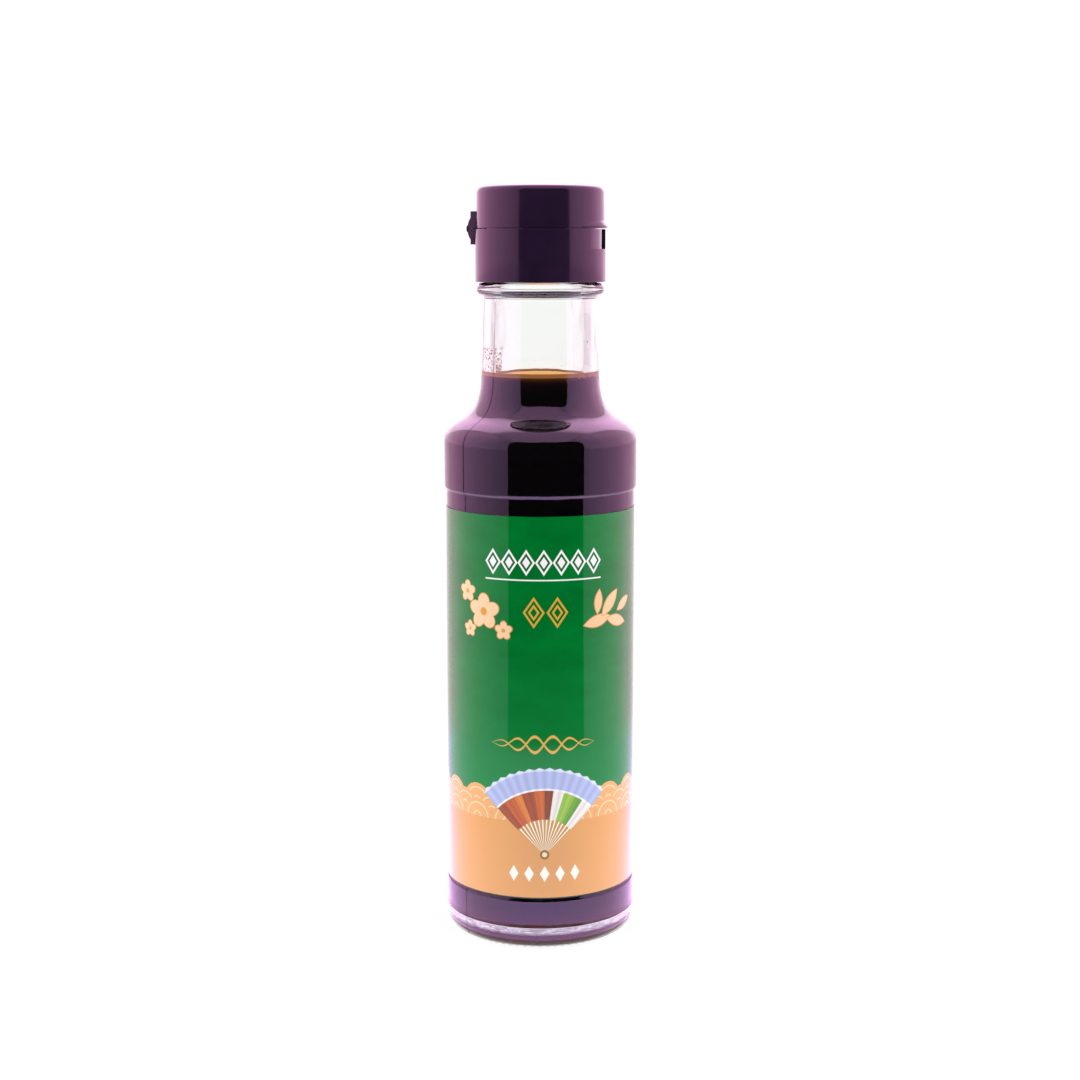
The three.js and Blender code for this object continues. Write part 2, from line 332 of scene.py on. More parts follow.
def clear_glass(settings):
    """Flint container glass, blown in a mould and fire-polished: clear, with a faint ripple in its gloss."""
    material, add = new_material("flint glass, fire-polished")
    place = add("TexCoord").outputs["Object"]
    # Ripples of the mould and of the gob's flow, about 9 mm long and longer down the bottle
    stretched = add("Mapping", place, Scale=(1.0, 1.0, 0.35))
    ripple = add("TexNoise", Vector=stretched, Scale=110.0, Detail=1.0)
    bump = add("Bump", Strength=0.12, Distance=0.12 * MM, Height=ripple)
    shader = add(
        "BsdfPrincipled", Base_Color=(*settings.glass_colour, 1.0), Roughness=0.0, IOR=1.52,
        Transmission_Weight=1.0, Normal=bump)
    add("OutputMaterial", shader)
    return material


def stippled_glass(settings):
    """The same glass on the slope inside the bearing ring, where the mould leaves a fine stipple."""
    material, add = new_material("flint glass, mould stipple")
    place = add("TexCoord").outputs["Object"]
    # Stipple of about 0.9 mm
    grain = add("TexNoise", Vector=place, Scale=1100.0, Detail=2.0)
    bump = add("Bump", Strength=0.8, Distance=0.2 * MM, Height=grain)
    shader = add(
        "BsdfPrincipled", Base_Color=(*settings.glass_colour, 1.0), Roughness=0.35, IOR=1.52,
        Transmission_Weight=1.0, Normal=bump)
    add("OutputMaterial", shader)
    return material


def scuffed_glass_with_highlight():
    """Glass worn on the filling line, with scratches under the ridge and along the foot; the white line on
    the ridge is a painted highlight.
    """
    material, add = new_material("flint glass, scuffed, with painted highlight line")
    place = add("TexCoord").outputs["Object"]
    height = add("SeparateXYZ", place).outputs[2]
    # Painted highlight: a thin white line round the ridge, standing in for the light that the thick glass of
    # the heel gathers there
    line = add("MapRange", height, 5.08 * MM, 5.16 * MM)
    # Scratches some 3 mm long and 0.4 mm wide
    stretched = add("Mapping", place, Scale=(1.0, 1.0, 6.0))
    grain = add("TexNoise", Vector=stretched, Scale=420.0, Detail=4.0, Roughness=0.7)
    worn = add("MapRange", grain, 0.38, 0.66, 0.35, 1.0)
    band = add("MapRange", height, 3.4 * MM, 4.2 * MM, 0.0, 0.9)
    low = add("MapRange", height, 1.1 * MM, 0.5 * MM, 0.0, 0.8)
    worn = add("Math MULTIPLY", worn, add("Math MAXIMUM", band, low))
    cover = add("Math MAXIMUM", worn, add("Math MULTIPLY", line, 0.8))
    clear = add("MapRange", cover, 0.0, 1.0, 1.0, 0.0)
    rough = add("MapRange", cover, 0.0, 1.0, 0.0, 0.45)
    shader = add(
        "BsdfPrincipled", Base_Color=linear("#E6DEEC"), Roughness=rough, IOR=1.52,
        Transmission_Weight=clear)
    add("OutputMaterial", shader)
    return material


def dark_sauce(settings):
    """Brewed sauce against glass: black in depth, with painted light at its top and its foot, red-brown bands
    by height where thin sauce would let light through.
    """
    material, add = new_material("brewed soy sauce, in depth, painted light at top and foot")
    place = add("TexCoord").outputs["Object"]
    height = add("SeparateXYZ", place).outputs[2]
    # Share of the way up, so that the ramp's places are heights over the 134 mm of sauce
    share = add("MapRange", height, 0.0, 134.0 * MM)
    # Painted light: the body is opaque, so red-brown near the foot and amber just under the level stand in
    # for light coming through thin sauce
    ramp = add("ValToRGB", share)
    deep = (*settings.sauce_colour, 1.0)
    fill_ramp(ramp, [(0.031, linear("#7A4048")), (0.047, linear("#4A222E")), (0.066, deep), (0.955, deep),
                     (0.972, linear("#1A0A10")), (0.979, linear("#4A2418")), (0.985, linear("#A86034"))])
    # Against glass the step in refraction is small, so little light comes back from it
    shader = add("BsdfPrincipled", Base_Color=ramp, Roughness=0.06, IOR=1.1)
    add("OutputMaterial", shader)
    return material


def sauce_surface():
    """The sauce's free surface in the neck, with painted light: amber and glowing, for the light that comes
    up through it at so low an angle.
    """
    material, add = new_material("brewed soy sauce, free surface, painted glow")
    place = add("TexCoord").outputs["Object"]
    # Painted light: the amber colour, paler towards the glass, stands in for light coming up through the
    # sauce
    radius = add("VectorMath LENGTH", add("VectorMath MULTIPLY", place, (1.0, 1.0, 0.0)))
    edge = add("MapRange", radius, 6.0 * MM, 10.0 * MM)
    colour = add("Mix RGBA", edge, linear("#F2AE72"), linear("#F6BE90"))
    # Painted glow: the surface gives off amber light, though it is no lamp
    shader = add(
        "BsdfPrincipled", Base_Color=colour, Roughness=0.3, IOR=1.34, Specular_IOR_Level=0.0,
        Emission_Color=linear("#FAB878"), Emission_Strength=0.72)
    add("OutputMaterial", shader)
    return material


def thin_sauce(settings):
    """A film of sauce that some light passes through: amber and wet."""
    material, add = new_material("brewed soy sauce, thin film")
    shader = add(
        "BsdfPrincipled", Base_Color=(*settings.sauce_edge_colour, 1.0), Roughness=0.3, IOR=1.37,
        Transmission_Weight=0.2, Specular_IOR_Level=0.0)
    add("OutputMaterial", shader)
    return material


def dried_sauce():
    """Specks of sauce that dried on the glass: orange-brown and slightly glossy."""
    material, add = new_material("dried sauce specks")
    shader = add("BsdfPrincipled", Base_Color=linear("#EC8E54"), Roughness=0.3, IOR=1.37)
    add("OutputMaterial", shader)
    return material


def moulded_plastic(settings):
    """Polypropylene from a polished mould: deep aubergine with a clear, slightly uneven gloss."""
    material, add = new_material("polypropylene, polished mould")
    place = add("TexCoord").outputs["Object"]
    # Flow of the melt over about 6 mm shows as a slight change in shade
    flow = add("TexNoise", Vector=place, Scale=160.0, Detail=2.0)
    shade = add("MapRange", flow, 0.3, 0.7, 0.9, 1.12)
    colour = add("VectorMath SCALE", tuple(settings.plastic_colour), Scale=shade)
    # The mould's polish leaves a skin of about 0.8 mm grain
    skin = add("TexNoise", Vector=place, Scale=1200.0, Detail=2.0)
    bump = add("Bump", Strength=0.12, Distance=0.012 * MM, Height=skin)
    gloss = add("MapRange", flow, 0.3, 0.7, 0.1, 0.16)
    shader = add(
        "BsdfPrincipled", Base_Color=colour, Roughness=gloss, IOR=1.45, Normal=bump,
        Specular_Tint=(1.0, 0.85, 0.75, 1.0))
    add("OutputMaterial", shader)
    return material


def disc_cover(add, place, centre, radius, soft=0.06):
    """Ink cover of a disc, in mm."""
    distance = add("VectorMath DISTANCE", place, (*centre, 0.0))
    return add("MapRange", distance, radius + soft, radius - soft)


def lay_inks(add, under, *inks):
    """The print so far with more inks over it, each given as its colour and its cover."""
    for ink, cover in inks:
        under = add("Mix RGBA", cover, under, linear(ink))
    return under


def leaf_cover(add, place, centre, length, width, turn, grow=0.0):
    """Ink cover of a pointed leaf, in mm, turned by an angle in degrees."""
    local = add("VectorMath SUBTRACT", place, (*centre, 0.0))
    spun = add("VectorRotate", local, rotation_type="Z_AXIS", Angle=math.radians(-turn))
    scaled = add("VectorMath MULTIPLY", spun, (1 / (length / 2 + grow), 1 / (width / 2 + grow), 0.0))
    x, y, _ = add("SeparateXYZ", scaled).outputs
    total = add("Math ADD", add("Math MULTIPLY", x, x), add("Math ABSOLUTE", y))
    return add("MapRange", total, 1.08, 0.96)


def blossom_cover(add, place, centre, radius, grow=0.0):
    """Ink cover of a five-petal blossom, in mm."""
    local = add("VectorMath SUBTRACT", place, (*centre, 0.0))
    x, y, _ = add("SeparateXYZ", local).outputs
    distance = add("VectorMath LENGTH", local)
    angle = add("Math ARCTAN2", x, y)
    petal = add("Math ABSOLUTE", add("Math COSINE", add("Math MULTIPLY", angle, 2.5)))
    edge = add("Math MULTIPLY_ADD", petal, radius * 0.38, radius * 0.68 + grow)
    gap = add("Math SUBTRACT", distance, edge)
    return add("MapRange", gap, 0.06, -0.06)


def lozenge_cover(add, place, centre, half_width, half_height, pitch, count, line=None):
    """Ink cover of a row of lozenges, filled or drawn as a line, in mm."""
    local = add("VectorMath SUBTRACT", place, (*centre, 0.0))
    x, y, _ = add("SeparateXYZ", local).outputs
    folded = add("Math WRAP", x, pitch / 2, -pitch / 2)
    if count % 2 == 0:
        folded = add("Math WRAP", add("Math ADD", x, pitch / 2), pitch / 2, -pitch / 2)
    across = add("Math MULTIPLY", add("Math ABSOLUTE", folded), 1 / half_width)
    total = add("Math MULTIPLY_ADD", add("Math ABSOLUTE", y), 1 / half_height, across)
    if line:
        total = add("Math ABSOLUTE", add("Math SUBTRACT", total, 1 - line))
        cover = add("MapRange", total, line * 1.15, line * 0.85)
    else:
        cover = add("MapRange", total, 1.04, 0.96)
    inside = add("Math LESS_THAN", add("Math ABSOLUTE", x), pitch * count / 2 + 0.05)
    return add("Math MULTIPLY", cover, inside)


def bar_cover(add, place, centre, half_width, half_height, soft=0.05):
    """Ink cover of an upright bar, in mm."""
    local = add("VectorMath SUBTRACT", place, (*centre, 0.0))
    x, y, _ = add("SeparateXYZ", add("VectorMath ABSOLUTE", local)).outputs
    gap = add("Math MAXIMUM", add("Math SUBTRACT", x, half_width), add("Math SUBTRACT", y, half_height))
    return add("MapRange", gap, soft, -soft)


def wave_row(add, place, under, foot, radius, shift):
    """One row of the traditional wave pattern: arcs in two inks over what is under them, in mm."""
    x, y, _ = add("SeparateXYZ", place).outputs
    folded = add("Math WRAP", add("Math ADD", x, shift), radius, -radius)
    up = add("Math SUBTRACT", y, foot)
    distance = add("VectorMath LENGTH", add("CombineXYZ", folded, up))
    inside = add("MapRange", distance, radius * 1.01, radius * 0.985)
    rings = add("Math PINGPONG", distance, radius * 0.25)
    line = add("MapRange", rings, radius * 0.21, radius * 0.23)
    arcs = add("Mix RGBA", line, linear("#E8A56C"), linear("#F6D5AE"))
    covered = add("Mix RGBA", inside, under, arcs)
    below = add("Math LESS_THAN", y, foot)
    return add("Mix RGBA", below, covered, linear("#E29A5C"))


def fan_print(add, place, under, pivot, radius, half_angle):
    """A folding fan: a pleated leaf in several inks over cream ribs, in mm."""
    local = add("VectorMath SUBTRACT", place, (*pivot, 0.0))
    x, y, _ = add("SeparateXYZ", local).outputs
    distance = add("VectorMath LENGTH", local)
    angle = add("Math ARCTAN2", x, y)
    open_to = add("MapRange", add("Math ABSOLUTE", angle), half_angle + 0.004, half_angle - 0.004)
    # Fourteen pleats, whose folds show as a zigzag rim and as light and dark sides
    pleat = half_angle / 14
    fold = add("Math MULTIPLY", add("Math PINGPONG", angle, pleat), 1 / pleat)
    rim = add("Math MULTIPLY_ADD", fold, 0.45, radius - 0.45)
    outer = add("MapRange", add("Math SUBTRACT", distance, rim), 0.07, -0.07)
    # Ribs under the leaf
    rib = add("MapRange", fold, 0.55, 0.75)
    ribs = add("Mix RGBA", rib, linear("#C98A4E"), linear("#FBF1E4"))
    # Inner band of the leaf, by angle
    share = add("MapRange", angle, -half_angle, half_angle)
    wedges = add("ValToRGB", share)
    wedges.color_ramp.interpolation = "CONSTANT"
    inks = [(0.0, "#A8402C"), (0.09, "#C8542E"), (0.2, "#DE7A3A"), (0.28, "#A8402C"), (0.4, "#D0602F"),
            (0.5, "#8E3428"), (0.58, "#EFE4E6"), (0.68, "#9DBE4A"), (0.8, "#6FA03C"), (0.88, "#EFE4E6")]
    fill_ramp(wedges, [(at, linear(ink)) for at, ink in inks])
    # Outer band in lavender over the wedges, with a white line between them
    band = add("MapRange", distance, radius * 0.745, radius * 0.755)
    leaf = add("Mix RGBA", band, wedges, linear("#B4B8EA"))
    from_line = add("Math ABSOLUTE", add("Math SUBTRACT", distance, radius * 0.75))
    white = add("MapRange", from_line, 0.26, 0.18)
    edge = add("MapRange", distance, radius * 0.955, radius * 0.965)
    leaf = lay_inks(add, leaf, ("#F4F0FA", white), ("#DCDCF6", edge))
    shade = add("MapRange", fold, 0.0, 1.0, 0.84, 1.08)
    pleated = add("VectorMath SCALE", leaf, Scale=shade)
    on_leaf = add("MapRange", distance, radius * 0.4, radius * 0.41)
    whole = add("Mix RGBA", on_leaf, ribs, pleated)
    cover = add("Math MULTIPLY", open_to, outer)
    return add("Mix RGBA", cover, under, whole)


def printed_film(settings):
    """Polypropylene label film, printed and varnished: flat fields of ink with a clear gloss over them, and
    painted shade along its lower edge.
    """
    material, add = new_material("polypropylene film, printed and varnished")
    place = add("TexCoord").outputs["Object"]
    x, y, z = add("SeparateXYZ", place).outputs
    angle = add("Math ARCTAN2", x, add("Math MULTIPLY", y, -1.0))
    along = add("Math MULTIPLY_ADD", angle, PRINT_RADIUS, -0.8)
    up = add("Math MULTIPLY_ADD", z, 1 / MM, -LABEL_BOTTOM)
    flat = add("CombineXYZ", along, up).outputs[0]

    # Green field, washed on unevenly in strokes some 12 mm long
    strokes = add("Mapping", flat, Scale=(0.05, 0.11, 1.0), Rotation=(0.0, 0.0, 0.5))
    wash = add("TexNoise", Vector=strokes, Scale=1.4, Detail=4.0, Roughness=0.6)
    tone = add("MapRange", wash, 0.3, 0.7, 0.86, 1.14)
    green = add("VectorMath SCALE", tuple(settings.upper_field), Scale=tone)
    # Towards the lower half the green is a little lighter, as diluted
    lower = add("MapRange", up, 26.0, 62.0, 0.55, 0.0)
    printed = add("Mix RGBA", lower, green, linear("#1D8444"))

    # White lozenge chain over a thin rule
    chain = (0.0, 78.2)
    inks = [("#F6EDF2", lozenge_cover(add, flat, chain, 2.0, 3.0, 4.0, 7, line=0.13)),
            ("#F6EDF2", lozenge_cover(add, flat, chain, 0.9, 1.35, 4.0, 7)),
            ("#F6EDF2", bar_cover(add, flat, (0.0, 74.2), 14.0, 0.16))]

    # Blossoms on the left and a leaf spray on the right, in peach with a gold edge
    blossoms = (((-14.6, 66.4), 3.9), ((-19.6, 70.6), 2.3), ((-9.4, 62.4), 2.0), ((-18.8, 62.0), 1.7))
    for centre, radius in blossoms:
        inks += [("#C98C46", blossom_cover(add, flat, centre, radius, 0.22)),
                 ("#F3C79E", blossom_cover(add, flat, centre, radius)),
                 ("#D9953F", disc_cover(add, flat, centre, radius * 0.24))]
    leaves = (((13.2, 64.2), 7.6, 2.5, 12), ((17.0, 68.0), 7.4, 2.6, 48), ((19.4, 63.6), 7.0, 2.4, -14),
              ((13.4, 68.6), 5.6, 2.0, 84), ((22.2, 67.2), 5.6, 2.0, 28))
    for leaf in leaves:
        inks += [("#C98C46", leaf_cover(add, flat, *leaf, 0.22)), ("#F0BE93", leaf_cover(add, flat, *leaf))]

    # Gold pair of lozenge knots between them
    for size, line in (((2.5, 3.6), 0.11), ((1.3, 1.9), 0.2)):
        inks.append(("#D8A23E", lozenge_cover(add, flat, (0.4, 66.8), *size, 5.4, 2, line=line)))

    # Gold ribbon of two strands, tapering to its ends
    reach = add("Math ABSOLUTE", along)
    taper = add("MapRange", reach, 3.0, 12.4, 1.0, 0.0)
    for phase in (0.0, math.pi):
        wave = add("Math SINE", add("Math MULTIPLY_ADD", along, 0.76, phase))
        line = add("Math MULTIPLY", wave, add("Math MULTIPLY_ADD", taper, 1.5, 0.35))
        gap = add("Math ABSOLUTE", add("Math SUBTRACT", add("Math SUBTRACT", up, 36.2), line))
        gap = add("Math SUBTRACT", gap, add("Math MULTIPLY", taper, 0.34))
        cover = add("MapRange", gap, 0.08, -0.06)
        inks.append(("#E2AE5C", add("Math MULTIPLY", cover, add("Math LESS_THAN", reach, 12.3))))
    printed = lay_inks(add, printed, *inks)

    # Peach field, its top edge a band of the wave pattern
    for foot, shift in ((21.6, 0.0), (19.8, 4.2), (18.0, 0.0)):
        printed = wave_row(add, flat, printed, foot, 4.2, shift)
    # Soft shade round the fan's foot
    shade = add("VectorMath DISTANCE", flat, (1.0, 10.6, 0.0))
    shade = add("MapRange", shade, 11.0, 3.0, 0.0, 0.35, interpolation_type="SMOOTHSTEP")
    printed = lay_inks(add, printed, ("#D58F58", shade))
    pivot = (0.2, 10.2)
    printed = fan_print(add, flat, printed, pivot, 20.6, math.radians(47))
    inks = [("#8E5A34", disc_cover(add, flat, pivot, 1.1)), ("#F2D9A8", disc_cover(add, flat, pivot, 0.6)),
            ("#FDF3EC", lozenge_cover(add, flat, (0.2, 5.6), 1.1, 1.9, 3.6, 5))]

    # Back of the label: a cream panel between thin rules
    distance = add("Math ABSOLUTE", along)
    panel = add("MapRange", distance, 43.9, 44.1)
    panel = add("Math MULTIPLY", panel, add("Math GREATER_THAN", up, 7.0))
    panel = add("Math MULTIPLY", panel, add("Math LESS_THAN", up, 81.0))
    rule = add("MapRange", add("Math PINGPONG", up, 3.2), 3.02, 3.08)
    rule = add("Math MULTIPLY", rule, add("Math GREATER_THAN", distance, 47.0))
    rule = add("Math MULTIPLY", rule, panel)

    # Painted shade: a dark brown strip along the film's lower edge, for the shadow in the gap between the
    # film and the glass's step
    foot = add("MapRange", up, -0.03, -0.11)
    printed = lay_inks(add, printed, *inks, ("#F3E6D2", panel), ("#1D7A42", rule), ("#2A120E", foot))

    # Varnish gloss, and the slight unevenness of film on glass over about 7 mm
    skin = add("TexNoise", Vector=place, Scale=140.0, Detail=2.0)
    bump = add("Bump", Strength=0.1, Distance=0.04 * MM, Height=skin)
    shader = add(
        "BsdfPrincipled", Base_Color=printed, Roughness=0.06, IOR=1.6, Normal=bump,
        Specular_Tint=(0.35, 1.0, 0.45, 1.0))
    add("OutputMaterial", shader)
    return material


# ---------------------------------------------------------------- pieces


def glass_outline():
    """Outside of the glass from the middle of its underside to the lip, then down the inside."""
    outside = [
        *curve([(0, 2.4), (9.0, 2.4), (13.0, 2.1), (16.0, 1.5)], 6),
        *curve([(16.4, 1.42), (18.2, 1.2), (18.55, 0.35)], 5),
        (18.9, 0.35), (19.5, 0.35), (20.1, 0.35),
        *curve([(20.5, 0.36), (21.9, 0.75), (22.35, 3.6)], 8),
        # Fine ridge where the mould's bottom plate meets its halves
        (22.35, 5.1), (22.42, 5.2), (22.35, 5.32), (22.35, 7.0),
        *curve([(22.35, 11.5), (22.35, 12.05), (22.0, 12.05), (22.0, 12.6)], 8),
        (22.0, 30.0), (22.0, 60.0), (22.0, 90.0),
        *curve([(22.0, 105.0), (22.0, 105.7), (22.5, 105.5), (22.5, 106.4)], 8),
        *curve([(22.5, 115.5), (22.5, 117.9), (22.5, 119.25), (17.95, 121.87)], 24),
        *curve([(17.95, 121.87), (15.0, 123.57), (13.82, 126.6), (13.7, 133.0)], 24)[1:],
        (13.38, 142.0), (13.1, 148.6),
        *curve([(13.06, 149.4), (13.1, 150.1), (13.5, 150.2)], 5),
        *curve([(13.8, 150.25), (15.15, 150.5), (15.15, 152.75), (13.8, 152.98)], 12),
        (12.9, 153.05),
        *curve([(12.6, 153.3), (12.6, 155.9)], 2),
        *curve([(12.65, 156.0), (13.2, 156.1), (13.2, 156.7), (12.62, 157.6)], 6),
        (12.6, 161.6),
        *curve([(12.6, 161.9), (12.6, 162.6), (11.8, 162.6)], 5),
    ]
    inside = [
        *curve([(10.5, 162.6), (9.8, 162.6), (9.8, 161.8)], 5),
        (9.85, 158.0), (9.88, 153.0), (9.9, 150.0), (9.93, 147.5),
        *[(radius, height) for height, radius in BORE[:0:-1]],
        *curve(BORE_SWEEP, 16),
        *curve([(16.0, 120.4), (18.9, 118.4), (20.0, 116.5), (20.0, 113.5)], 12)[1:],
        (20.0, 90.0), (20.0, 60.0), (20.0, 30.0),
        *curve([(20.0, 6.9), (20.0, 4.2), (17.3, 4.2)], 10),
        *curve([(16.9, 4.21), (9.0, 4.6), (5.0, 5.2), (0, 5.2)], 7),
    ]
    return outside + inside


def raise_mould_seams(height):
    """Two seams on opposite sides, each a fine ridge up the outside."""
    toward = Vector((math.sin(SEAM_ANGLE), -math.cos(SEAM_ANGLE), 0))
    across = Vector((math.cos(SEAM_ANGLE), math.sin(SEAM_ANGLE), 0))
    for offset in (-0.16, 0.0, 0.16):
        bpy.ops.mesh.select_all(action="SELECT")
        # A plane through the very origin cuts nothing, so the plane's point is a little way up
        point = across * offset * MM + Vector((0, 0, MM))
        bpy.ops.mesh.bisect(plane_co=point, plane_no=across, threshold=MERGE)
    for side in (1, -1):
        select_where(lambda co, normal: abs(co.dot(across)) < 0.01 and side * co.dot(toward) > 5
                     and side * normal.dot(toward) > 0.05 and 0.6 < co.z < 149)
        bpy.ops.transform.translate(value=toward * side * height)


def press_knurl():
    """Short nubs all round the ring that the bottle stands on."""
    step = FULL_TURN / GLASS_STEPS
    select_where(lambda co, normal: abs(co.z - 0.35) < 0.01 and 18.7 < co.xy.length < 20.3
                 and round(math.atan2(co.y, co.x) / step) % 4 == 0)
    bpy.ops.transform.translate(value=(0, 0, -0.35 * MM))


def roughen_bore(piece, depth):
    """The neck's inner wall is blown, not moulded, so it is uneven."""
    make_active(piece)
    bpy.ops.object.vertex_group_add()
    bpy.ops.object.mode_set(mode="EDIT")
    select_where(lambda co, normal: 135.5 < co.z < 151 and co.xy.length < 12.2)
    bpy.ops.object.vertex_group_assign()
    bpy.ops.object.mode_set(mode="OBJECT")
    waves = bpy.data.textures.new("bore waves", "CLOUDS")
    waves.noise_scale = 7 * MM
    modifier = piece.modifiers.new("bore waves", "DISPLACE")
    modifier.texture = waves
    modifier.texture_coords = "LOCAL"
    modifier.strength = depth
    modifier.mid_level = 0.5
    modifier.vertex_group = piece.vertex_groups[-1].name
    bpy.ops.object.modifier_apply(modifier=modifier.name)


class SAUCEBOTTLE_OT_glass(bpy.types.Operator):
    """Blown glass bottle with its panel, shoulder, bead and neck finish"""

    bl_idname = "saucebottle.glass"
    bl_label = "Glass bottle"

    def execute(self, context):
        settings = context.scene.sauce_bottle
        piece = turned("bottle_glass", glass_outline(), GLASS_STEPS)
        bpy.ops.object.mode_set(mode="EDIT")
        press_knurl()
        raise_mould_seams(settings.seam_height)
        bpy.ops.object.mode_set(mode="OBJECT")
        roughen_bore(piece, settings.bore_wave)
        glasses = clear_glass(settings), stippled_glass(settings), scuffed_glass_with_highlight()
        dress(piece, "bottle_glass", *glasses, angle=50)
        # Worn along the foot and under the ridge, with the painted highlight line on the ridge, stippled on
        # the slope inside the bearing ring
        for face in piece.data.polygons:
            reach = face.center.xy.length / MM
            height = face.center.z / MM
            if reach > 20.6 and (height < 1.0 or 3.2 < height < 5.33):
                face.material_index = 2
            elif height < 1.45 and 16.2 < reach < 18.7:
                face.material_index = 1
        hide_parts("glass_bottle")
        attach(piece, "bottle")
        return {"FINISHED"}


class SAUCEBOTTLE_OT_sauce(bpy.types.Operator):
    """Sauce up to its level in the neck, reaching just into the glass wall so that no air gap shows"""

    bl_idname = "saucebottle.sauce"
    bl_label = "Sauce"

    def execute(self, context):
        settings = context.scene.sauce_bottle
        into = 0.07
        side = 20.0 + into
        outline = [
            *curve([(0, 5.2 - into), (5.0, 5.2 - into), (9.0, 4.6 - into), (16.9, 4.21 - into)], 7),
            *curve([(17.3, 4.2 - into), (side, 4.2 - into), (side, 6.9)], 10),
            (side, 30.0), (side, 60.0), (side, 90.0),
            *curve([(side, 113.5), (side, 116.5), (18.9 + into, 118.4 + into), (16.0, 120.4 + into)], 12),
            *[(r + into, z + into) for r, z in curve(BORE_SWEEP, 16)[-2::-1] if z < SAUCE_LEVEL - 1],
            (10.25 + into, SAUCE_LEVEL - 0.5),
            (9.0, SAUCE_LEVEL), (6.0, SAUCE_LEVEL), (0, SAUCE_LEVEL),
        ]
        piece = turned("sauce_body", outline, 144)
        dress(piece, "sauce", dark_sauce(settings), sauce_surface())
        for face in piece.data.polygons:
            face.material_index = 1 if face.normal.z > 0.9 and face.center.z > 130 * MM else 0
        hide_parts("soy_sauce")
        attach(piece, "bottle")
        climb = settings.meniscus / MM
        edge = [
            (9.0, SAUCE_LEVEL), (10.25 + into, SAUCE_LEVEL - 0.5), (10.23 + into, SAUCE_LEVEL + climb),
            *curve([(10.1, SAUCE_LEVEL + climb * 0.8), (9.9, SAUCE_LEVEL + climb * 0.15),
                    (9.0, SAUCE_LEVEL)], 8),
        ]
        rim = turned("sauce_meniscus", edge, 144)
        dress(rim, "sauce", thin_sauce(settings))
        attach(rim, "bottle")
        return {"FINISHED"}


def speck(name, radius):
    """One low drop, flat on its wall, modelled once for copying."""
    deselect()
    bpy.ops.mesh.primitive_ico_sphere_add(subdivisions=2, radius=radius * MM, location=(0, 0, 0))
    drop = bpy.context.object
    drop.name = name
    bpy.ops.object.mode_set(mode="EDIT")
    bpy.ops.mesh.select_all(action="SELECT")
    bpy.ops.transform.resize(value=(0.5, 1.0, 1.1))
    bpy.ops.object.mode_set(mode="OBJECT")
    return drop


def scatter(model, places):
    """Copies a drop to places given as angle in degrees, radius, height and size, and joins the copies."""
    copies = []
    for angle, radius, height, size in places:
        make_active(model)
        bpy.ops.object.duplicate()
        copy = bpy.context.object
        turn = math.radians(angle - 90)
        copy.location = (radius * math.cos(turn) * MM, radius * math.sin(turn) * MM, height * MM)
        copy.rotation_euler = (0, 0, turn)
        copy.scale = (size, size, size)
        copies.append(copy)
    name = model.name
    bpy.data.objects.remove(model, do_unlink=True)
    deselect()
    for copy in copies:
        copy.select_set(True)
    bpy.context.view_layer.objects.active = copies[0]
    bpy.ops.object.transform_apply(location=True, rotation=True, scale=True)
    bpy.ops.object.join()
    joined = bpy.context.object
    joined.name = name
    joined.data.name = name
    return joined


def bore_radius(height):
    """Inner radius of the neck at a height, in mm."""
    for (low, wide), (high, narrow) in zip(BORE, BORE[1:]):
        if height <= high:
            return wide + (narrow - wide) * (height - low) / (high - low)
    return BORE[-1][1]


class SAUCEBOTTLE_OT_specks(bpy.types.Operator):
    """Dried specks and small bubbles of sauce on the neck's wall at and above the level"""

    bl_idname = "saucebottle.specks"
    bl_label = "Specks and bubbles"

    def execute(self, context):
        settings = context.scene.sauce_bottle
        # A dense patch on the left of the wall; the specks stick in the glass a little
        draw = random.Random(5)
        places = []
        for _ in range(210):
            height = 132.7 + 5.4 * draw.random() ** 1.3
            angle = -50 - 56 * draw.random()
            places.append((angle, bore_radius(height) - 0.02, height, 0.4 + 0.9 * draw.random()))
        for angle, height, size in ((66, 139.6, 1.5), (69, 138.6, 0.6), (-6, 135.6, 0.5), (14, 133.4, 1.0),
                                    (-20, 133.4, 0.9), (26, 134.4, 0.7), (80, 133.6, 1.0), (150, 137.0, 0.7)):
            places.append((angle, bore_radius(height) - 0.03, height, size))
        specks = scatter(speck("sauce_specks", 0.15), places)
        dress(specks, "sauce", dried_sauce())
        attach(specks, "bottle")
        # Bubbles along the edge of the surface on the right
        ring = []
        for _ in range(44):
            angle = 46 + 60 * draw.random()
            ring.append((angle, 10.38, SAUCE_LEVEL + 0.9 * draw.random() - 0.7, 0.4 + 0.7 * draw.random()))
        bubbles = scatter(speck("sauce_bubbles", 0.3), ring)
        dress(bubbles, "sauce", thin_sauce(settings))
        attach(bubbles, "bottle")
        return {"FINISHED"}


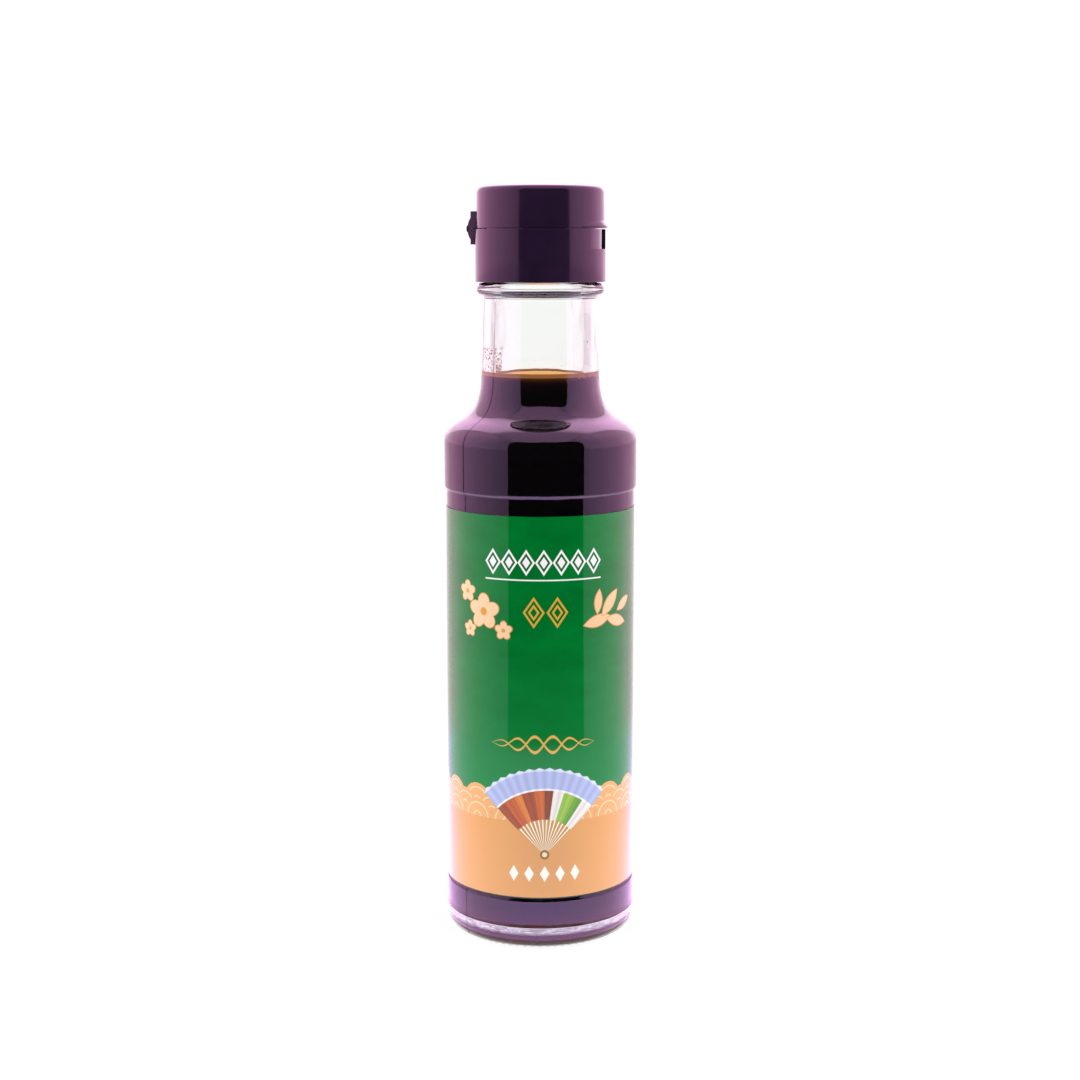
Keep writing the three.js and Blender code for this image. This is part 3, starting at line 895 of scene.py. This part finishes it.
class SAUCEBOTTLE_OT_label(bpy.types.Operator):
    """Printed film wrapped round the panel, with its two ends facing each other at the back"""

    bl_idname = "saucebottle.label"
    bl_label = "Label"

    def execute(self, context):
        settings = context.scene.sauce_bottle_label
        gap = math.radians(7.5)
        heights = [LABEL_FOOT + (LABEL_TOP - LABEL_FOOT) * i / 12 for i in range(13)]
        piece = turned("printed_label", [(LABEL_RADIUS, z) for z in heights], 240, FULL_TURN - 2 * gap)
        bpy.ops.object.mode_set(mode="EDIT")
        bpy.ops.mesh.select_all(action="SELECT")
        ring = bmesh.from_edit_mesh(piece.data)
        middle = sum((v.co.xy for v in ring.verts), Vector((0, 0)))
        # The film starts at +X, so it is turned until its middle faces the front
        away = math.atan2(middle.y, middle.x)
        bpy.ops.transform.rotate(value=away + math.pi / 2, orient_axis="Z", center_override=(0, 0, 0))
        bpy.ops.object.mode_set(mode="OBJECT")
        centre = sum((v.co.xy for v in piece.data.vertices), Vector((0, 0)))
        if centre.y > 0 or abs(centre.x) > 0.1 * abs(centre.y):
            raise RuntimeError("the label doesn't face the front")
        outwards = piece.data.polygons[0].normal.dot(piece.data.polygons[0].center)
        solid = piece.modifiers.new("film", "SOLIDIFY")
        solid.thickness = settings.thickness
        solid.offset = 1.0 if outwards > 0 else -1.0
        make_active(piece)
        bpy.ops.object.modifier_apply(modifier=solid.name)
        bpy.ops.object.mode_set(mode="EDIT")
        bpy.ops.mesh.select_all(action="SELECT")
        bpy.ops.mesh.normals_make_consistent(inside=False)
        bpy.ops.object.mode_set(mode="OBJECT")
        dress(piece, "label_film", printed_film(settings))
        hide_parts("label")
        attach(piece, "bottle")
        return {"FINISHED"}


def hinge_pad(name, up, far, near, root):
    """A pad that swells from its far end to the hinge line at the parting plane, with soft side edges."""
    swell = curve([(-15.55, near + up * 2.5), (-HINGE_LINE, near + up * 1.4), (-HINGE_LINE, near)], 10)
    pad = prism(name, [(-root, far), (-15.55, far), *swell, (-root, near)], -4.4, 4.4)
    bevel_sharp(pad, 0.16, 3)
    return pad


def hinge_window(name, low, high):
    return prism(name, [(-17.3, low), (-15.2, low), (-15.2, high), (-17.3, high)], -2.2, 2.2)


class SAUCEBOTTLE_OT_cap_base(bpy.types.Operator):
    """Lower half of the closure: skirt, deck, sealing collar and pouring spout"""

    bl_idname = "saucebottle.cap_base"
    bl_label = "Closure base"

    def execute(self, context):
        settings = context.scene.sauce_bottle_closure
        edge = settings.edge_radius / MM
        top = PARTING - 0.08
        spout_top = top + 3.5
        outline = [
            (0, top - 1.5), (13.7, top - 1.5), (13.7, CAP_BOTTOM), (BASE_RADIUS, CAP_BOTTOM),
            (BASE_RADIUS, top), (13.1, top), (13.1, top + 0.8), (12.2, top + 0.8), (12.2, top), (5.2, top),
            (5.2, spout_top - 1.2), (5.7, spout_top), (4.1, spout_top), (4.1, spout_top - 2.4),
            (0, spout_top - 2.4),
        ]
        corners = {2: 0.2, 3: edge, 4: 0.12, 6: 0.2, 7: 0.2, 9: 0.5, 10: 0.8, 11: 0.2, 12: 0.5}
        outline = rounded(outline, corners)
        piece = turned("closure_base", outline, CAP_STEPS)
        pad = hinge_pad("pad", -1, 161.7, PARTING - 0.01, 14.0)
        combine(pad, hinge_window("window", PARTING - 2.7, top + 1), "DIFFERENCE")
        combine(piece, pad, "UNION")
        # Recess for the thumb under the tab
        hollow = [(14.2, 160.7), (16.5, 160.7), (16.5, top + 1), (14.2, top + 1), (14.2, 160.7)]
        recess = turned("recess", hollow, 36, math.radians(46))
        make_active(recess)
        bpy.ops.object.mode_set(mode="EDIT")
        bpy.ops.mesh.select_all(action="DESELECT")
        bpy.ops.mesh.select_non_manifold()
        bpy.ops.mesh.fill_holes(sides=0)
        bpy.ops.mesh.select_all(action="SELECT")
        bpy.ops.mesh.normals_make_consistent(inside=False)
        bpy.ops.object.mode_set(mode="OBJECT")
        middle = sum((v.co.xy for v in recess.data.vertices), Vector((0, 0)))
        recess.rotation_euler = (0, 0, -math.atan2(middle.y, middle.x))
        bpy.ops.object.transform_apply(location=True, rotation=True, scale=True)
        combine(piece, recess, "DIFFERENCE")
        # Tear line of the tamper band beside the tab
        tear = prism("tear", [(14.75, 152.0), (16.0, 152.0), (16.0, 161.0), (14.75, 161.0)], -0.16, 0.16)
        tear.rotation_euler = (0, 0, math.radians(8))
        make_active(tear)
        bpy.ops.object.transform_apply(location=True, rotation=True, scale=True)
        combine(piece, tear, "DIFFERENCE")
        turn_closure(piece)
        dress(piece, "closure_plastic", plastic())
        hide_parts("cap_base")
        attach(piece, "bottle")
        return {"FINISHED"}


class SAUCEBOTTLE_OT_cap_lid(bpy.types.Operator):
    """Upper half of the closure: a hollow lid with its thumb tab and hinge pad"""

    bl_idname = "saucebottle.cap_lid"
    bl_label = "Closure lid"

    def execute(self, context):
        low = PARTING + 0.08
        roof = CAP_TOP - 1.4
        outside = rounded([(0, low), (14.85, low), (14.7, CAP_TOP), (0, CAP_TOP)], {1: 0.12, 2: 1.6}, 8)
        hollow = [(0, low - 1), (13.6, low - 1), (13.4, roof - 1.2), (12.2, roof), (0, roof)]
        hollow = rounded(hollow, {2: 0.6, 3: 0.6})
        piece = turned("closure_lid", outside, CAP_STEPS)
        # Tab: a low frustum set off towards the thumb side, so that a crescent of it shows
        reach = 15.7
        end = (14.85 * math.cos(math.radians(33)), 14.85 * math.sin(math.radians(33)))
        centre = (reach ** 2 - end[0] ** 2 - end[1] ** 2) / (2 * (reach - end[0]))
        radius = reach - centre
        foot = low + 0.05
        tab = turned("tab", rounded([
            (0, foot), (radius, foot), (radius, foot + 0.45), (radius - 1.2, foot + 2.1), (0, foot + 2.1)],
            {1: 0.12, 2: 0.12, 3: 0.5}), CAP_STEPS)
        tab.location = (centre * MM, 0, 0)
        make_active(tab)
        bpy.ops.object.transform_apply(location=True, rotation=True, scale=True)
        combine(piece, tab, "UNION")
        combine(piece, turned("hollow", hollow, CAP_STEPS), "DIFFERENCE")
        pad = hinge_pad("pad", 1, 169.3, PARTING + 0.01, 13.9)
        combine(pad, hinge_window("window", low - 1, PARTING + 2.7), "DIFFERENCE")
        combine(piece, pad, "UNION")
        # Plug inside the lid that closes the spout
        plug = [(2.6, roof + 0.3), (2.6, roof - 2.2), (3.5, roof - 2.2), (3.9, roof - 0.6),
                (3.9, roof + 0.3), (2.6, roof + 0.3)]
        combine(piece, turned("plug", rounded(plug, {1: 0.2, 2: 0.3}), 96), "UNION")
        turn_closure(piece)
        dress(piece, "closure_plastic", plastic())
        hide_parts("cap_lid")
        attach(piece, "lid")
        return {"FINISHED"}


class SAUCEBOTTLE_OT_hinge(bpy.types.Operator):
    """Living hinge: a bowed spring strap between two thin films"""

    bl_idname = "saucebottle.hinge"
    bl_label = "Hinge"

    def execute(self, context):
        bow = curve([(-15.35, PARTING - 2.4), (-15.95, PARTING), (-15.35, PARTING + 2.4)], 16)
        far = curve([(-15.75, PARTING - 2.4), (-16.35, PARTING), (-15.75, PARTING + 2.4)], 16)
        strap = prism("hinge_spring", bow + far[::-1], -1.7, 1.7)
        films = []
        for name, side in (("hinge_web_left", 1), ("hinge_web_right", -1)):
            near = [(-16.26, PARTING - 0.75 + 0.15 * i) for i in range(11)]
            out = curve([(-16.34, PARTING + 0.75), (-16.62, PARTING), (-16.34, PARTING - 0.75)], 10)
            films.append(prism(name, near + out, side * 3.4 - 1.1, side * 3.4 + 1.1))
        for piece, node, reach in ((strap, "hinge_strap", 2.0), (films[0], "hinge_film_left", 0.6),
                                   (films[1], "hinge_film_right", 0.6)):
            bevel_sharp(piece, 0.05, 1)
            turn_closure(piece)
            dress(piece, "closure_plastic", plastic())
            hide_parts(node)
            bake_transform(piece)
        return {"FINISHED"}


def plastic():
    """The closure's one material, made once."""
    found = bpy.data.materials.get("polypropylene, polished mould")
    return found or moulded_plastic(bpy.context.scene.sauce_bottle_closure)


# ---------------------------------------------------------------- stage


def tent_walls(add, direction, gain):
    """The tent's walls as gloss shows them: dim plum in front (0), past the sides (0.5), to the back (1)."""
    across = add("VectorMath NORMALIZE", add("VectorMath MULTIPLY", direction, (1.0, 1.0, 0.0)))
    facing = add("VectorMath DOT_PRODUCT", across, (0.0, 1.0, 0.0))
    around = add("ValToRGB", add("MapRange", facing, -1.0, 1.0))
    walls = [(0.0, (0.33, 0.19, 0.37)), (0.172, (0.48, 0.27, 0.53)), (0.258, (0.61, 0.34, 0.67)),
             (0.37, (0.74, 0.385, 0.74)), (0.48, (0.85, 0.43, 0.84)), (0.604, (0.9, 0.44, 0.81)),
             (0.772, (0.95, 0.45, 0.8)), (0.847, (0.8, 0.42, 0.65)), (0.933, (0.7, 0.47, 0.6)),
             (1.0, (0.66, 0.5, 0.6))]
    fill_ramp(around, [(at, (*shade, 1.0)) for at, shade in walls])
    return add("VectorMath SCALE", around, Scale=gain)


def tent_world(settings):
    """A white light tent. Gloss shows its walls and ceiling; everything else gets even white light."""
    world = bpy.data.worlds.new("white tent")
    world.use_nodes = True
    # Every ray has to find the light by its own kind, so the world isn't sampled as a lamp
    world.cycles.sampling_method = "NONE"
    world.node_tree.nodes.clear()
    add = partial(add_node, world.node_tree)
    direction = add("TexCoord").outputs["Generated"]
    x, y, z = add("SeparateXYZ", direction).outputs
    # The ceiling is a lit strip from front to back, 30 degrees to each side of upright, above the front wall
    aside = add("Math ABSOLUTE", x)
    strip = add("MapRange", aside, 0.53, 0.47)
    slope = add("Math DIVIDE", z, add("Math SMOOTH_MAX", add("Math MULTIPLY", y, -1.0), 0.1, 0.1))
    over = add("MapRange", slope, 0.775, 0.825)
    above = add("Math MULTIPLY", strip, over)
    # Seam between the side walls and the strip
    from_seam = add("Math ABSOLUTE", add("Math SUBTRACT", aside, 0.515))
    dip = add("MapRange", from_seam, 0.006, 0.018, 0.4, 0.0)
    seam = add("Math SUBTRACT", 1.0, add("Math MULTIPLY", dip, over))
    walls = tent_walls(add, direction, settings.wall_gain)
    backward = add("MapRange", y, 0.15, 0.32)
    ceiling = add("Mix RGBA", backward, (*settings.ceiling_front, 1.0), (*settings.ceiling_back, 1.0))
    high = add("MapRange", z, 0.25, 0.6)
    ceiling = add("Mix RGBA", high, (2.8, 1.95, 2.55, 1.0), ceiling)
    tent = add("Mix RGBA", above, walls, ceiling)
    tent = add("VectorMath SCALE", tent, Scale=seam)
    # Even light for what isn't glossy, more of it from the two sides
    even = add("Math MULTIPLY_ADD", add("Math MULTIPLY", x, x), 3.5, 0.125)
    # Through glass: white behind the bottle, pale pink to the sides and the front
    ahead = add("MapRange", y, 0.75, 0.95)
    through = add("Mix RGBA", ahead, (0.78, 0.72, 0.71, 1.0), (1.07, 1.07, 1.07, 1.0))
    rays = add("LightPath")
    light = add("Mix RGBA", rays.outputs["Is Glossy Ray"], (1.02, 1.02, 1.02, 1.0), tent)
    light = add("Mix RGBA", rays.outputs["Is Transmission Ray"], light, through)
    light = add("Mix RGBA", rays.outputs["Is Diffuse Ray"], light, even)
    add("OutputWorld", add("Background", light, 1.0))
    return world


def glowing(name, colour, strength, base="#FFFFFF"):
    """A pale painted board that also glows, for the floor and the boards round the stage."""
    material, add = new_material(name)
    material.cycles.emission_sampling = "NONE"
    shader = add(
        "BsdfPrincipled", Base_Color=linear(base), Roughness=0.9, Specular_IOR_Level=0.0,
        Emission_Color=(*colour, 1.0), Emission_Strength=strength)
    add("OutputMaterial", shader)
    return material


def pale_floor():
    """White floor, which the neck's wall shows greyer and pinker to the sides, where the tent is open."""
    material, add = new_material("pale floor board")
    material.cycles.emission_sampling = "NONE"
    place = add("TexCoord").outputs["Object"]
    distance = add("VectorMath LENGTH", place)
    ahead = add("SeparateXYZ", add("VectorMath NORMALIZE", place)).outputs[1]
    beside = add("MapRange", ahead, 0.95, 0.75)
    shade = add("Math MULTIPLY", beside, add("MapRange", distance, 150 * MM, 400 * MM))
    through = add("Math MULTIPLY", shade, add("LightPath").outputs["Is Transmission Ray"])
    colour = add("Mix RGBA", through, (1.0, 1.0, 1.0, 1.0), (0.56, 0.52, 0.51, 1.0))
    shader = add(
        "BsdfPrincipled", Base_Color=linear("#6E6E6E"), Roughness=0.9, Specular_IOR_Level=0.0,
        Emission_Color=colour, Emission_Strength=0.9)
    add("OutputMaterial", shader)
    return material


def lit_floor(settings):
    """The floor as gloss shows it: bright and bluish near the bottle, like the tent's walls farther off."""
    material, add = new_material("lit floor board")
    material.cycles.emission_sampling = "NONE"
    place = add("TexCoord").outputs["Object"]
    distance = add("VectorMath LENGTH", place)
    x = add("SeparateXYZ", add("VectorMath NORMALIZE", place)).outputs[0]
    far = tent_walls(add, place, settings.wall_gain * 0.72)
    to_middle = add("MapRange", distance, 50 * MM, 170 * MM, interpolation_type="SMOOTHSTEP")
    to_far = add("MapRange", distance, 170 * MM, 240 * MM, interpolation_type="SMOOTHSTEP")
    # Pinker to the sides
    near = add("Mix RGBA", add("Math MULTIPLY", x, x), (*settings.floor_colour, 1.0), (3.3, 1.9, 3.5, 1.0))
    near = add("Mix RGBA", to_middle, near, (1.6, 1.2, 1.9, 1.0))
    colour = add("Mix RGBA", to_far, near, far)
    shader = add(
        "BsdfPrincipled", Base_Color=linear("#000000"), Roughness=1.0, Specular_IOR_Level=0.0,
        Emission_Color=colour, Emission_Strength=1.0)
    add("OutputMaterial", shader)
    return material


def sector(name, outline, half_angle, aside):
    """A board swept round the bottle, with its middle in front and then turned aside."""
    board = turned(name, outline, 48, 2 * half_angle)
    middle = sum((v.co.xy for v in board.data.vertices), Vector((0, 0)))
    board.rotation_euler = (0, 0, aside - math.pi / 2 - math.atan2(middle.y, middle.x))
    make_active(board)
    bpy.ops.object.transform_apply(location=True, rotation=True, scale=True)
    return board


class SAUCEBOTTLE_OT_stage(bpy.types.Operator):
    """Pale floor, white tent, dark boards that only gloss and glass show, and the camera"""

    bl_idname = "saucebottle.stage"
    bl_label = "Stage"

    def execute(self, context):
        settings = context.scene.sauce_bottle_stage
        scene = context.scene
        scene.world = tent_world(settings)
        scene.view_settings.view_transform = "Standard"
        scene.view_settings.look = "None"
        scene.view_settings.exposure = 0.0
        scene.view_settings.gamma = 1.0
        floor = turned("floor", [(0, -0.02), (3000, -0.02)], 96)
        floor.data.materials.append(pale_floor())
        glow = turned("floor_glow", [(23.5, 0.02), (3000, 0.02)], 96)
        glow.data.materials.append(lit_floor(settings))
        dark = glowing("dark card", (0.0, 0.0, 0.0), 0.0, "#050505")
        wide, aside = math.radians(45.3), math.radians(7.1)
        floor_card = sector("dark_floor_card", [(203, 0.3), (900, 0.3)], wide, aside)
        wall_card = sector("dark_wall_card", [(900, 0.3), (900, 835)], wide, aside)
        # The wall card's two top corners are round, 180 mm in radius
        for vertex in wall_card.data.vertices:
            turn = math.atan2(vertex.co.x, -vertex.co.y) - aside
            inward = 180 - min(180, (wide - abs(turn)) * 900)
            if vertex.co.z > 0.5:
                vertex.co.z -= (180 - math.sqrt(max(0, 180 ** 2 - inward ** 2))) * MM
        for card in (floor_card, wall_card):
            card.data.materials.append(dark)
        for board in (glow, floor_card, wall_card):
            for kind in ("camera", "diffuse", "shadow", "transmission", "volume_scatter"):
                setattr(board, "visible_" + kind, False)
        deselect()
        bpy.ops.object.camera_add(location=(-0.07 * MM, -453.2 * MM, 162.0 * MM),
                                  rotation=(math.radians(90 - 8.68), 0, 0))
        camera = context.object
        camera.data.sensor_width = 36.0
        camera.data.lens = 64.8
        camera.data.clip_start = 0.01
        camera.data.clip_end = 20.0
        scene.camera = camera
        return {"FINISHED"}


class SAUCEBOTTLE_PT_panel(bpy.types.Panel):
    """The bottle's pieces and settings"""

    bl_idname = "SAUCEBOTTLE_PT_panel"
    bl_label = "Sauce Bottle"
    bl_space_type = "VIEW_3D"
    bl_region_type = "UI"
    bl_category = "Sauce Bottle"

    def draw(self, context):
        column = self.layout.column(align=True)
        for operator in OPERATORS:
            column.operator(operator.bl_idname)
        for group in GROUPS:
            settings = getattr(context.scene, group)
            box = self.layout.box()
            for name in settings.bl_rna.properties.keys():
                if name not in ("rna_type", "name"):
                    box.prop(settings, name)


GROUPS = {
    "sauce_bottle": BottleSettings,
    "sauce_bottle_label": LabelSettings,
    "sauce_bottle_closure": ClosureSettings,
    "sauce_bottle_stage": StageSettings,
}
OPERATORS = (
    SAUCEBOTTLE_OT_glass,
    SAUCEBOTTLE_OT_sauce,
    SAUCEBOTTLE_OT_specks,
    SAUCEBOTTLE_OT_label,
    SAUCEBOTTLE_OT_cap_base,
    SAUCEBOTTLE_OT_cap_lid,
    SAUCEBOTTLE_OT_hinge,
    SAUCEBOTTLE_OT_stage,
)


def register():
    for cls in (*GROUPS.values(), *OPERATORS, SAUCEBOTTLE_PT_panel):
        bpy.utils.register_class(cls)
    for name, cls in GROUPS.items():
        setattr(bpy.types.Scene, name, bpy.props.PointerProperty(type=cls))


def unregister():
    for name in GROUPS:
        delattr(bpy.types.Scene, name)
    for cls in (SAUCEBOTTLE_PT_panel, *reversed(OPERATORS), *reversed(GROUPS.values())):
        bpy.utils.unregister_class(cls)


def main():
    """Builds every piece and the stage."""
    register()
    bpy.ops.saucebottle.glass()
    bpy.ops.saucebottle.sauce()
    bpy.ops.saucebottle.specks()
    bpy.ops.saucebottle.label()
    bpy.ops.saucebottle.cap_base()
    bpy.ops.saucebottle.cap_lid()
    bpy.ops.saucebottle.hinge()
    bpy.ops.saucebottle.stage()


if __name__ == "__main__":
    main()
